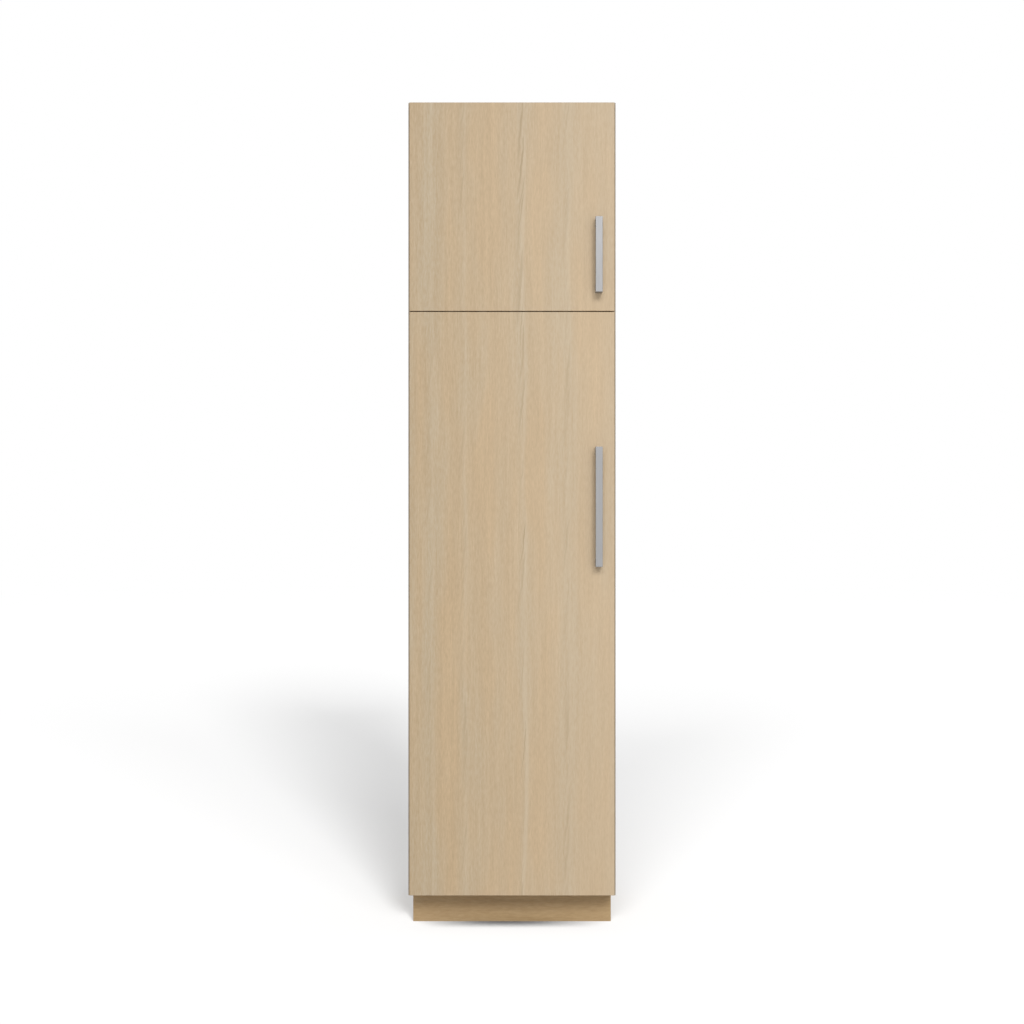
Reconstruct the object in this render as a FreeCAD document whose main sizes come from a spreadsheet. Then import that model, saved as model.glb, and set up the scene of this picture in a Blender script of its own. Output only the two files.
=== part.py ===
import FreeCAD, Part
import os
import Sketcher

# A tall linen cabinet with two doors, one above the other, on a set-back plinth.
# Millimetres, +Z up, doors facing -Y.
# The origin is on the floor, at the middle of the overall width and depth.

Vector = FreeCAD.Vector
Rotation = FreeCAD.Rotation

# Driving sizes. Each becomes a cell of the sheet, under its own alias.
SIZES = {
    # Carcass boards
    "cabinet_width": 600,
    "carcass_height": 2295,
    "carcass_depth": 450,
    "board_thickness": 18,
    "edge_band": 1,
    "back_thickness": 6,
    "groove_depth": 8,
    "groove_clearance": 0.5,
    "wall_rail_height": 80,
    "wall_hole_spacing": 400,
    "wall_hole_radius": 2.75,
    # Plinth
    "plinth_height": 95.5,
    "plinth_recess": 70,
    "plinth_side_inset": 9,
    "plinth_rear_inset": 30,
    "corner_block_width": 36,
    "corner_block_height": 40,
    # Doors
    "lower_door_height": 1682,
    "door_seam": 3,
    "door_reveal": 4.5,
    "door_gap": 3,
    "door_thickness": 18,
    "door_edge_round": 0.8,
    "bumper_radius": 5,
    "bumper_air": 0.3,
    "bumper_edge_distance": 7.5,
    # Handles
    "handle_width": 20,
    "handle_projection": 32,
    "handle_bar_thickness": 10,
    "handle_foot_length": 24,
    "handle_inner_round": 8,
    "handle_edge_round": 1,
    "handle_edge_distance": 46,
    "upper_handle_centres": 192,
    "upper_handle_rise": 158.7,
    "lower_handle_centres": 320,
    "lower_handle_rise": 1120.5,
    # Shelves and their pins
    "lower_shelf_count": 4,
    "shelf_setback": 20,
    "shelf_side_clearance": 1,
    "shelf_back_clearance": 1,
    "pin_row_count": 3,
    "pin_row_pitch": 32,
    "front_row_setback": 37,
    "rear_row_inset": 90,
    "shelf_peg_radius": 2.4,
    "shelf_peg_length": 10,
    "shelf_seat_radius": 3.5,
    "shelf_seat_length": 8,
    # Carcass joints
    "joint_front_inset": 60,
    "joint_rear_inset": 110,
    "dowel_spacing": 32,
    "dowel_radius": 4,
    "dowel_length": 30,
    "dowel_side_depth": 12,
    "cam_radius": 7.5,
    "cam_height": 12.5,
    "cam_end_distance": 34,
    "cam_slot_width": 7,
    "bolt_thread_radius": 2.4,
    "bolt_thread_length": 11,
    "bolt_shaft_radius": 3,
    "bolt_shaft_length": 24,
    "bolt_neck_radius": 1.8,
    "bolt_head_length": 4,
    # Hinges
    "upper_hinge_count": 2,
    "lower_hinge_count": 4,
    "hinge_end_distance": 89,
    "cup_radius": 17.5,
    "cup_depth": 13.2,
    "cup_edge_distance": 3,
    "cup_slot_start": 4.45,
    "cup_slot_length": 32,
    "cup_slot_depth": 12.6,
    "flange_thickness": 1.2,
    "flange_width": 16,
    "flange_length": 62,
    "flange_offset": 6,
    "cup_screw_spacing": 48,
    "pivot_edge_distance": 7.5,
    "pivot_depth": 9.5,
    "hinge_pin_radius": 1.5,
    "hinge_pin_length": 17,
    "running_clearance": 0.05,
    "knuckle_radius": 2.7,
    "arm_thickness": 3.2,
    "arm_width": 10,
    "arm_side_clearance": 0.3,
    "arm_reach": 14,
    "arm_bend_radius": 2.4,
    "arm_tail_width": 16,
    "plate_wing_thickness": 2.5,
    "plate_wing_length": 52,
    "plate_wing_width": 16,
    "plate_rail_length": 56,
    "plate_rail_width": 12,
    "plate_rail_start": 11,
    "plate_screw_spacing": 32,
    "arm_screw_inset": 12,
    # Screws
    "screw_clearance": 0.1,
    "bore_end_clearance": 0.5,
    "recess_width": 0.9,
    "recess_depth": 1.1,
    "wood_screw_radius": 1.7,
    "wood_screw_head_radius": 3.4,
    "wood_screw_head_height": 1.6,
    "cup_screw_bite": 12,
    "back_screw_count": 5,
    "back_screw_bite": 24,
    "back_screw_end_distance": 60,
    "plinth_screw_radius": 2,
    "plinth_screw_head_radius": 4,
    "plinth_screw_head_height": 2.4,
    "plinth_screw_bite": 12,
    "plate_screw_radius": 2.4,
    "plate_screw_head_radius": 4.2,
    "plate_screw_head_height": 2,
    "plate_screw_bite": 11,
    "arm_screw_radius": 2,
    "arm_screw_head_radius": 3.8,
    "arm_screw_head_height": 2.2,
    "handle_screw_radius": 2,
    "handle_screw_head_radius": 4.5,
    "handle_screw_head_height": 2.6,
    "handle_screw_bite": 12,
}


class Formula:
    """A size worked out from the sheet: the text of its expression, and its present value."""

    def __init__(self, text, value):
        self.text = text
        self.value = value

    def __add__(self, other):
        other = formula(other)
        return Formula(f"({self.text} + {other.text})", self.value + other.value)

    def __sub__(self, other):
        other = formula(other)
        return Formula(f"({self.text} - {other.text})", self.value - other.value)

    def __mul__(self, factor):
        return Formula(f"({self.text} * {factor})", self.value * factor)

    def __truediv__(self, divisor):
        return Formula(f"({self.text} / {divisor})", self.value / divisor)

    def __neg__(self):
        return Formula(f"(0 - {self.text})", -self.value)


def formula(size):
    """A plain number as a formula; a formula as it is."""
    if isinstance(size, Formula):
        return size
    return Formula(str(size), size)


class Sheet:
    """The sheet's cells as formulas, such as size.cabinet_width."""

    def __getattr__(self, alias):
        return Formula(f"Sizes.{alias}", SIZES[alias])


size = Sheet()
doc = FreeCAD.newDocument("LinenCabinet")
cells = doc.addObject("Spreadsheet::Sheet", "Sizes")
for row, (alias, number) in enumerate(SIZES.items(), start=1):
    cells.set(f"A{row}", alias)
    cells.set(f"B{row}", str(number))
    cells.setAlias(f"B{row}", alias)
doc.recompute()

# Planes that the pieces share
overall_depth = size.carcass_depth + size.door_gap + size.door_thickness + size.handle_projection
rear_plane = overall_depth / 2
carcass_front = rear_plane - size.carcass_depth
door_back = carcass_front - size.door_gap
door_front = door_back - size.door_thickness
handle_front = door_front - size.handle_projection
inner_width = size.cabinet_width - size.board_thickness * 2
inner_left = -(inner_width / 2)
carcass_bottom = size.plinth_height
carcass_top = carcass_bottom + size.carcass_height
bottom_panel_top = carcass_bottom + size.board_thickness
top_panel_bottom = carcass_top - size.board_thickness
rail_front_depth = size.carcass_depth - size.board_thickness
back_front_depth = rail_front_depth - size.back_thickness
door_width = size.cabinet_width - size.door_reveal * 2
door_left = -(door_width / 2)
lower_door_bottom = carcass_bottom + size.door_reveal
lower_door_top = lower_door_bottom + size.lower_door_height
upper_door_bottom = lower_door_top + size.door_seam
upper_door_height = carcass_top - size.door_reveal - upper_door_bottom
divider_bottom = lower_door_top + size.door_seam / 2 - size.board_thickness / 2
divider_top = divider_bottom + size.board_thickness
rail_middle = top_panel_bottom - size.wall_rail_height / 2

# Joint places along the depth, from the carcass front
cam_depths = [size.joint_front_inset, size.carcass_depth - size.joint_rear_inset]
dowel_depths = [cam_depths[0] + size.dowel_spacing, cam_depths[1] - size.dowel_spacing]
pin_depths = [size.front_row_setback, size.carcass_depth - size.rear_row_inset]
panel_middle = size.board_thickness / 2
bolt_bore_radius = size.bolt_shaft_radius + size.screw_clearance
dowel_bore_radius = size.dowel_radius + size.screw_clearance
thread_bore_radius = size.bolt_thread_radius + size.screw_clearance
dowel_panel_depth = size.dowel_length - size.dowel_side_depth
plate_screw_half = size.plate_screw_spacing / 2

TURNS = {
    "+z": Rotation(),
    "-z": Rotation(Vector(1, 0, 0), 180),
    "+y": Rotation(Vector(1, 0, 0), -90),
    "-y": Rotation(Vector(1, 0, 0), 90),
    "+x": Rotation(Vector(0, 1, 0), 90),
    "-x": Rotation(Vector(0, 1, 0), -90),
}
# How far the arms of a crossed drive reach, as a share of the head's radius
DRIVE_REACH = 0.6
subparts = {}


def keep(label, piece):
    """Name a finished sub-part, so that it is checked and written."""
    piece.Label = label
    subparts[label] = piece
    return piece


def bind(piece, **sizes):
    for name, amount in sizes.items():
        piece.setExpression(name, formula(amount).text)


def place(piece, x=0, y=0, z=0):
    for axis, amount in (("x", x), ("y", y), ("z", z)):
        piece.setExpression(f".Placement.Base.{axis}", formula(amount).text)
    return piece


# Plain solids, joined and cut
def block(name, corner, extent):
    piece = doc.addObject("Part::Box", name)
    bind(piece, Length=extent[0], Width=extent[1], Height=extent[2])
    return place(piece, *corner)


def rod(name, radius, length, along="+z", start=(0, 0, 0)):
    piece = doc.addObject("Part::Cylinder", name)
    bind(piece, Radius=radius, Height=length)
    piece.Placement = FreeCAD.Placement(Vector(), TURNS[along])
    return place(piece, *start)


def joined(name, pieces):
    piece = doc.addObject("Part::MultiFuse", name)
    piece.Shapes = pieces
    return piece


def cut(name, base, tools):
    piece = doc.addObject("Part::Cut", name)
    piece.Base = base
    piece.Tool = tools[0] if len(tools) == 1 else joined(f"{name}Tools", tools)
    return piece


def stacked(name, sections):
    """Round sections (radius, length), one on the other along Z, as one solid."""
    pieces = []
    level = formula(0)
    for radius, length in sections:
        pieces.append(rod(f"{name}Section", radius, length, start=(0, 0, level)))
        level = level + length
    return joined(name, pieces)


def cross_recess(name, face_level, reach):
    """The two crossed slots of a screw's drive, sunk from the face of its head."""
    low = face_level - size.recess_depth
    wide = size.recess_width
    half = wide / 2
    return [
        block(f"{name}Slot", (-reach, -half, low), (reach * 2, wide, size.recess_depth)),
        block(f"{name}Slot", (-half, -reach, low), (wide, reach * 2, size.recess_depth)),
    ]


def pan_screw(name, radius, length, head_radius, head_height):
    """A screw along Z with its head's seat at z = 0 and its shank below, with a crossed drive."""
    shank = rod(f"{name}Shank", radius, length, "-z")
    head = rod(f"{name}Head", head_radius, head_height)
    whole = joined(f"{name}Blank", [shank, head])
    return cut(name, whole, cross_recess(name, head_height, head_radius * DRIVE_REACH))


def group(label, master, places, along="+z"):
    """Separate copies of one piece, kept together as one sub-part."""
    copies = []
    for spot in places:
        copy = doc.addObject("App::Link", f"{master.Name}Copy")
        copy.LinkedObject = master
        copy.Placement = FreeCAD.Placement(Vector(), TURNS[along])
        copies.append(place(copy, *spot))
    return gathered(label, copies)


def gathered(label, pieces):
    whole = doc.addObject("Part::Compound", "".join(word.title() for word in label.split("_")))
    whole.Links = pieces
    return keep(label, whole)


# Sketched pieces
def new_body(name):
    return doc.addObject("PartDesign::Body", name)


def sketch_on(body, name, role, offset=0):
    plane = next(item for item in body.Origin.OriginFeatures if item.Role == role)
    sketch = body.newObject("Sketcher::SketchObject", name)
    sketch.AttachmentSupport = [(plane, "")]
    sketch.MapMode = "FlatFace"
    sketch.setExpression("AttachmentOffset.Base.z", formula(offset).text)
    return sketch


def fix(sketch, kind, *target, amount):
    index = sketch.addConstraint(Sketcher.Constraint(kind, *target, amount.value))
    sketch.setExpression(f"Constraints[{index}]", amount.text)


def locate(sketch, item, point, x, y):
    """Tie a point of the sketch to its distances from the sketch's origin."""
    for kind, axis, amount in (("DistanceX", -2, x), ("DistanceY", -1, y)):
        if amount == 0:
            sketch.addConstraint(Sketcher.Constraint("PointOnObject", item, point, axis))
        else:
            fix(sketch, kind, -1, 1, item, point, amount=formula(amount))


def rectangle(sketch, left, low, width, height):
    x0 = formula(left).value
    y0 = formula(low).value
    x1 = x0 + width.value
    y1 = y0 + height.value
    corners = [Vector(x0, y0), Vector(x1, y0), Vector(x1, y1), Vector(x0, y1)]
    sides = [
        sketch.addGeometry(Part.LineSegment(corners[i], corners[(i + 1) % 4]), False)
        for i in range(4)
    ]
    for i in range(4):
        sketch.addConstraint(Sketcher.Constraint("Coincident", sides[i], 2, sides[(i + 1) % 4], 1))
        sketch.addConstraint(Sketcher.Constraint(("Horizontal", "Vertical")[i % 2], sides[i]))
    locate(sketch, sides[0], 1, left, low)
    fix(sketch, "DistanceX", sides[0], 1, sides[0], 2, amount=width)
    fix(sketch, "DistanceY", sides[1], 1, sides[1], 2, amount=height)


def circle(sketch, x, y, radius):
    ring = sketch.addGeometry(
        Part.Circle(Vector(formula(x).value, formula(y).value), Vector(0, 0, 1), radius.value), False
    )
    locate(sketch, ring, 3, x, y)
    fix(sketch, "Radius", ring, amount=radius)


def pad(body, sketch, length, reverse=False, midplane=False):
    feature = body.newObject("PartDesign::Pad", f"{sketch.Name}Pad")
    feature.Profile = sketch
    feature.Reversed = reverse
    feature.Midplane = midplane
    bind(feature, Length=length)
    doc.recompute()
    return feature


def pocket(body, sketch, depth, reverse=False, midplane=False):
    """Sink a sketch into the body, and stop if it took nothing away."""
    before = body.Shape.Volume
    feature = body.newObject("PartDesign::Pocket", f"{sketch.Name}Pocket")
    feature.Profile = sketch
    feature.Reversed = reverse
    feature.Midplane = midplane
    bind(feature, Length=depth)
    doc.recompute()
    if body.Shape.Volume >= before:
        raise RuntimeError(f"{sketch.Name} cut nothing from {body.Name}")
    return feature


def bores(body, name, role, centres, radius, depth, offset=0, reverse=False):
    sketch = sketch_on(body, name, role, offset)
    for x, y in centres:
        circle(sketch, x, y, radius)
    return pocket(body, sketch, depth, reverse)


def fillet(body, base, radius, *tests):
    """Round the edges of a feature whose two ends both pass one of the tests."""
    names = [
        f"Edge{number}"
        for number, edge in enumerate(base.Shape.Edges, start=1)
        if any(all(test(vertex.Point) for vertex in edge.Vertexes) for test in tests)
    ]
    feature = body.newObject("PartDesign::Fillet", f"{base.Name}Round")
    feature.Base = (base, names)
    bind(feature, Radius=radius)
    doc.recompute()
    return feature


def near(one, other):
    tolerance = 1e-4
    return abs(one - formula(other).value) < tolerance


def spaced(first, last, count):
    """Evenly spaced places from the first to the last."""
    step = (last - first) / (count - 1)
    return [first + step * number for number in range(count)]


# Heights of the shelves and hinges
def shelf_levels(floor, ceiling, count):
    """Undersides of shelves that share a compartment evenly."""
    opening = (ceiling - floor - size.board_thickness * count) / (count + 1)
    return [floor + opening * number + size.board_thickness * (number - 1) for number in range(1, count + 1)]


upper_shelf_levels = shelf_levels(divider_top, top_panel_bottom, 1)
lower_shelf_levels = shelf_levels(bottom_panel_top, divider_bottom, SIZES["lower_shelf_count"])
all_shelf_levels = lower_shelf_levels + upper_shelf_levels
upper_hinge_heights = spaced(
    upper_door_bottom + size.hinge_end_distance,
    upper_door_bottom + upper_door_height - size.hinge_end_distance,
    SIZES["upper_hinge_count"],
)
lower_hinge_heights = spaced(
    lower_door_bottom + size.hinge_end_distance,
    lower_door_top - size.hinge_end_distance,
    SIZES["lower_hinge_count"],
)
pin_bore_radius = size.shelf_peg_radius + size.screw_clearance
pin_row_half = size.pin_row_pitch * (SIZES["pin_row_count"] - 1) / 2


# Side panels, drawn from the inner face, the front edge and the lower end
def side_panel(label, inner_face, outward):
    right = outward > 0
    body = new_body("SidePanel")
    outline = sketch_on(body, "SideOutline", "YZ_Plane")
    rectangle(outline, size.edge_band, 0, size.carcass_depth - size.edge_band, size.carcass_height)
    pad(body, outline, size.board_thickness, reverse=not right)
    groove = sketch_on(body, "SideGroove", "YZ_Plane")
    rectangle(groove, back_front_depth, 0, size.back_thickness, size.carcass_height)
    pocket(body, groove, size.groove_depth, reverse=right)
    joint_levels = [panel_middle, divider_bottom + panel_middle - carcass_bottom,
                    size.carcass_height - panel_middle]
    bolts = [(depth, level) for level in joint_levels for depth in cam_depths]
    bores(body, "SideBoltBores", "YZ_Plane", bolts, thread_bore_radius,
          size.bolt_thread_length + size.bore_end_clearance, reverse=right)
    dowels = [(depth, level) for level in joint_levels for depth in dowel_depths]
    dowels.append((rail_front_depth + panel_middle, rail_middle - carcass_bottom))
    bores(body, "SideDowelBores", "YZ_Plane", dowels, dowel_bore_radius,
          size.dowel_side_depth + size.bore_end_clearance, reverse=right)
    pins = []
    for shelf in all_shelf_levels:
        row_start = shelf - size.shelf_seat_radius - pin_row_half - carcass_bottom
        for step in range(SIZES["pin_row_count"]):
            pins += [(depth, row_start + size.pin_row_pitch * step) for depth in pin_depths]
    bores(body, "SidePinBores", "YZ_Plane", pins, pin_bore_radius,
          size.shelf_peg_length + size.bore_end_clearance, reverse=right)
    if not right:
        screws = [(size.front_row_setback, height + offset - carcass_bottom)
                  for height in upper_hinge_heights + lower_hinge_heights
                  for offset in (plate_screw_half, -plate_screw_half)]
        bores(body, "SidePlateBores", "YZ_Plane", screws, size.plate_screw_radius + size.screw_clearance,
              size.plate_screw_bite + size.bore_end_clearance)
    keep(label, place(body, inner_face, carcass_front, carcass_bottom))


side_panel("left_side_panel", inner_left, -1)
side_panel("right_side_panel", -inner_left, 1)


# Panels between the sides, drawn from the left end, the carcass front and the underside
def cross_panel(label, underside, depth, cams_on_top=False):
    body = new_body("CrossPanel")
    outline = sketch_on(body, "CrossOutline", "XY_Plane")
    rectangle(outline, 0, size.edge_band, inner_width, depth - size.edge_band)
    pad(body, outline, size.board_thickness)
    cams = [(x, y) for x in (size.cam_end_distance, inner_width - size.cam_end_distance) for y in cam_depths]
    bores(body, "CamBores", "XY_Plane", cams, size.cam_radius + size.screw_clearance, size.cam_height,
          offset=size.board_thickness if cams_on_top else 0, reverse=not cams_on_top)
    bolts = [(y, panel_middle) for y in cam_depths]
    dowels = [(y, panel_middle) for y in dowel_depths]
    for end, inward in ((0, True), (inner_width, False)):
        bores(body, "BoltBores", "YZ_Plane", bolts, bolt_bore_radius, size.cam_end_distance,
              offset=end, reverse=inward)
        bores(body, "DowelBores", "YZ_Plane", dowels, dowel_bore_radius,
              dowel_panel_depth + size.bore_end_clearance, offset=end, reverse=inward)
    place(body, inner_left, carcass_front, underside)
    return keep(label, body)


def back_groove(body, level, upward):
    groove = sketch_on(body, "CrossGroove", "XY_Plane", level)
    rectangle(groove, 0, back_front_depth, inner_width, size.back_thickness)
    pocket(body, groove, size.groove_depth, reverse=upward)


top_panel = cross_panel("top_panel", top_panel_bottom, size.carcass_depth, cams_on_top=True)
back_groove(top_panel, 0, upward=True)
bottom_panel = cross_panel("bottom_panel", carcass_bottom, size.carcass_depth)
back_groove(bottom_panel, size.board_thickness, upward=False)
divider_panel = cross_panel("divider_panel", divider_bottom, back_front_depth)

# Screws through the back panel into the divider
back_screw_places = spaced(
    size.back_screw_end_distance,
    inner_width - size.back_screw_end_distance,
    SIZES["back_screw_count"],
)
wood_screw_bore = size.wood_screw_radius + size.screw_clearance
bores(divider_panel, "BackScrewBores", "XZ_Plane", [(x, panel_middle) for x in back_screw_places],
      wood_screw_bore, size.back_screw_bite + size.bore_end_clearance, offset=-back_front_depth, reverse=True)
back_screw_length = size.back_thickness + size.back_screw_bite
back_screw = pan_screw("BackScrew", size.wood_screw_radius, back_screw_length,
                       size.wood_screw_head_radius, size.wood_screw_head_height)
group("back_panel_screws", back_screw,
      [(inner_left + x, carcass_front + rail_front_depth, divider_bottom + panel_middle)
       for x in back_screw_places], "+y")


# The back panel sits in grooves; the wall rail stands behind it, under the top panel
def wall_hole_centres(left, low):
    middle = size.cabinet_width / 2
    half = size.wall_hole_spacing / 2
    return [(middle - half - left, rail_middle - low), (middle + half - left, rail_middle - low)]


def back_panel():
    tongue = size.groove_depth - size.groove_clearance
    low = bottom_panel_top - tongue
    left = size.board_thickness - tongue
    body = new_body("BackPanel")
    outline = sketch_on(body, "BackOutline", "XZ_Plane")
    rectangle(outline, 0, 0, inner_width + tongue * 2, top_panel_bottom + tongue - low)
    pad(body, outline, size.back_thickness, reverse=True)
    bores(body, "WallHoles", "XZ_Plane", wall_hole_centres(left, low), size.wall_hole_radius,
          size.back_thickness)
    screws = [(x + tongue, divider_bottom + panel_middle - low) for x in back_screw_places]
    bores(body, "BackHoles", "XZ_Plane", screws, wood_screw_bore, size.back_thickness)
    keep("back_panel", place(body, inner_left - tongue, carcass_front + back_front_depth, low))


def wall_rail():
    low = top_panel_bottom - size.wall_rail_height
    body = new_body("WallRail")
    outline = sketch_on(body, "RailOutline", "XZ_Plane")
    rectangle(outline, 0, 0, inner_width, size.wall_rail_height)
    pad(body, outline, size.board_thickness, reverse=True)
    bores(body, "RailHoles", "XZ_Plane", wall_hole_centres(size.board_thickness, low),
          size.wall_hole_radius, size.board_thickness)
    for end, inward in ((0, True), (inner_width, False)):
        bores(body, "RailDowelBores", "YZ_Plane", [(panel_middle, size.wall_rail_height / 2)],
              dowel_bore_radius, dowel_panel_depth + size.bore_end_clearance, offset=end, reverse=inward)
    keep("wall_rail", place(body, inner_left, carcass_front + rail_front_depth, low))


back_panel()
wall_rail()

# Bands on the front edges of the carcass boards
side_band_extent = (size.board_thickness, size.edge_band, size.carcass_height)
cross_band_extent = (inner_width, size.edge_band, size.board_thickness)
carcass_left = -(size.cabinet_width / 2)
carcass_bands = [
    block("SideBand", (carcass_left, carcass_front, carcass_bottom), side_band_extent),
    block("SideBand", (-inner_left, carcass_front, carcass_bottom), side_band_extent),
]
for level in (carcass_bottom, divider_bottom, top_panel_bottom):
    carcass_bands.append(block("CrossBand", (inner_left, carcass_front, level), cross_band_extent))
gathered("carcass_edge_bands", carcass_bands)


# Cam locks, cam bolts and dowels where the panels meet the sides
def cam_lock():
    disc = rod("CamDisc", size.cam_radius, size.cam_height)
    low = panel_middle - size.cam_slot_width / 2
    half = size.cam_slot_width / 2
    slot = block("CamSlot", (-size.cam_radius, -half, low),
                 (size.cam_radius + half, size.cam_slot_width, size.cam_slot_width))
    drive = cross_recess("CamLock", size.recess_depth, size.cam_radius * DRIVE_REACH)
    return cut("CamLock", disc, [slot] + drive)


def cam_bolt():
    neck_length = size.cam_end_distance - size.bolt_shaft_length - size.bolt_head_length
    return stacked("CamBolt", [
        (size.bolt_thread_radius, size.bolt_thread_length),
        (size.bolt_shaft_radius, size.bolt_shaft_length),
        (size.bolt_neck_radius, neck_length),
        (size.bolt_shaft_radius, size.bolt_head_length),
    ])


# Turns about the upright axis and over, so that each cam's slot faces its own side panel
CAM_TURNS = {
    ("left", "below"): Rotation(),
    ("right", "below"): Rotation(Vector(0, 0, 1), 180),
    ("left", "above"): Rotation(Vector(1, 0, 0), 180),
    ("right", "above"): Rotation(Vector(0, 1, 0), 180),
}


def cam_joints():
    lock = cam_lock()
    bolt = cam_bolt()
    dowel = rod("Dowel", size.dowel_radius, size.dowel_length)
    locks = []
    bolts = []
    dowels = []
    panels = [(carcass_bottom, "below"), (divider_bottom, "below"), (top_panel_bottom, "above")]
    for underside, cam_side in panels:
        face = underside if cam_side == "below" else underside + size.board_thickness
        axis = underside + panel_middle
        for hand, inner_face, outward in (("left", inner_left, -1), ("right", -inner_left, 1)):
            for depth in cam_depths:
                copy = doc.addObject("App::Link", "CamLockCopy")
                copy.LinkedObject = lock
                copy.Placement = FreeCAD.Placement(Vector(), CAM_TURNS[hand, cam_side])
                x = inner_face - size.cam_end_distance * outward
                locks.append(place(copy, x, carcass_front + depth, face))
                bolts.append((hand, inner_face + size.bolt_thread_length * outward, depth, axis))
            for depth in dowel_depths:
                dowels.append((hand, inner_face + size.dowel_side_depth * outward, depth, axis))
    rail_depth = rail_front_depth + panel_middle
    for hand, inner_face, outward in (("left", inner_left, -1), ("right", -inner_left, 1)):
        dowels.append((hand, inner_face + size.dowel_side_depth * outward, rail_depth, rail_middle))
    gathered("cam_locks", locks)
    gathered("cam_bolts", [inward_copy(bolt, *spot) for spot in bolts])
    gathered("wood_dowels", [inward_copy(dowel, *spot) for spot in dowels])


def inward_copy(master, hand, x, depth, level):
    """A copy that points from a side panel into the cabinet."""
    copy = doc.addObject("App::Link", f"{master.Name}Copy")
    copy.LinkedObject = master
    copy.Placement = FreeCAD.Placement(Vector(), TURNS["+x" if hand == "left" else "-x"])
    return place(copy, x, carcass_front + depth, level)


cam_joints()

# Plinth: four boards, a brace and corner blocks, screwed up into the bottom panel
plinth_half = size.cabinet_width / 2 - size.plinth_side_inset
plinth_front_face = carcass_front + size.plinth_recess
plinth_side_start = plinth_front_face + size.board_thickness
plinth_rear_start = rear_plane - size.plinth_rear_inset - size.board_thickness
plinth_side_length = plinth_rear_start - plinth_side_start
plinth_inner = plinth_half - size.board_thickness
cross_extent = (plinth_half * 2, size.board_thickness, size.plinth_height)
side_extent = (size.board_thickness, plinth_side_length, size.plinth_height)
keep("plinth_front", block("PlinthFront", (-plinth_half, plinth_front_face, 0), cross_extent))
keep("plinth_rear", block("PlinthRear", (-plinth_half, plinth_rear_start, 0), cross_extent))
keep("plinth_left", block("PlinthLeft", (-plinth_half, plinth_side_start, 0), side_extent))
keep("plinth_right", block("PlinthRight", (plinth_inner, plinth_side_start, 0), side_extent))
keep("plinth_brace", block("PlinthBrace", (-panel_middle, plinth_side_start, 0), side_extent))

block_half = size.corner_block_width / 2
block_centres = [(x, y)
                 for x in (block_half - plinth_inner, plinth_inner - block_half)
                 for y in (plinth_side_start + block_half, plinth_rear_start - block_half)]
block_bottom = size.plinth_height - size.corner_block_height
plinth_screw_bore = size.plinth_screw_radius + size.screw_clearance
corner_block = cut(
    "CornerBlock",
    block("CornerBlockBlank", (-block_half, -block_half, 0),
          (size.corner_block_width, size.corner_block_width, size.corner_block_height)),
    [rod("CornerBlockBore", plinth_screw_bore, size.corner_block_height)],
)
group("plinth_corner_blocks", corner_block, [(x, y, block_bottom) for x, y in block_centres])
plinth_screw = pan_screw("PlinthScrew", size.plinth_screw_radius,
                         size.corner_block_height + size.plinth_screw_bite,
                         size.plinth_screw_head_radius, size.plinth_screw_head_height)
group("plinth_screws", plinth_screw, [(x, y, block_bottom) for x, y in block_centres], "-z")
bores(bottom_panel, "PlinthScrewBores", "XY_Plane",
      [(x - inner_left, y - carcass_front) for x, y in block_centres],
      plinth_screw_bore, size.plinth_screw_bite + size.bore_end_clearance, reverse=True)

# Shelves on stepped pins
shelf_width = inner_width - size.shelf_side_clearance * 2
shelf_left = -(shelf_width / 2)
shelf_front = carcass_front + size.shelf_setback
shelf_depth = back_front_depth - size.shelf_back_clearance - size.shelf_setback
board_depth = shelf_depth - size.edge_band
shelf_names = [f"lower_shelf_{number}" for number in range(1, SIZES["lower_shelf_count"] + 1)]
shelf_names.append("upper_shelf")
shelf_bands = []
for name, level in zip(shelf_names, all_shelf_levels):
    keep(name, block("Shelf", (shelf_left, shelf_front + size.edge_band, level),
                     (shelf_width, board_depth, size.board_thickness)))
    shelf_bands.append(block("ShelfBand", (shelf_left, shelf_front, level),
                             (shelf_width, size.edge_band, size.board_thickness)))
gathered("shelf_edge_bands", shelf_bands)

shelf_pin = stacked("ShelfPin", [
    (size.shelf_peg_radius, size.shelf_peg_length),
    (size.shelf_seat_radius, size.shelf_seat_length),
])
shelf_pin_copies = []
for level in all_shelf_levels:
    for depth in pin_depths:
        for hand, x in (("left", inner_left - size.shelf_peg_length),
                        ("right", size.shelf_peg_length - inner_left)):
            shelf_pin_copies.append(inward_copy(shelf_pin, hand, x, depth, level - size.shelf_seat_radius))
gathered("shelf_pins", shelf_pin_copies)

# Hinges: a cup in the door turns on a pin in the end of an arm, which is fixed to the left side panel
cup_centre_distance = size.cup_edge_distance + size.cup_radius
cup_x = door_left + cup_centre_distance
pivot_x = door_left + size.pivot_edge_distance
pivot_y = door_back - size.pivot_depth
slot_width = size.arm_width + size.arm_side_clearance * 2
pin_bore = size.hinge_pin_radius + size.running_clearance
plate_y = carcass_front + size.front_row_setback
arm_inner_face = pivot_x + size.arm_reach - size.arm_thickness / 2
plate_rail_thickness = arm_inner_face - inner_left
arm_tail_end = carcass_front + size.plate_rail_start + size.plate_rail_length
arm_screw_y = arm_tail_end - size.arm_screw_inset
flange_near = size.flange_offset - size.flange_width / 2


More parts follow.
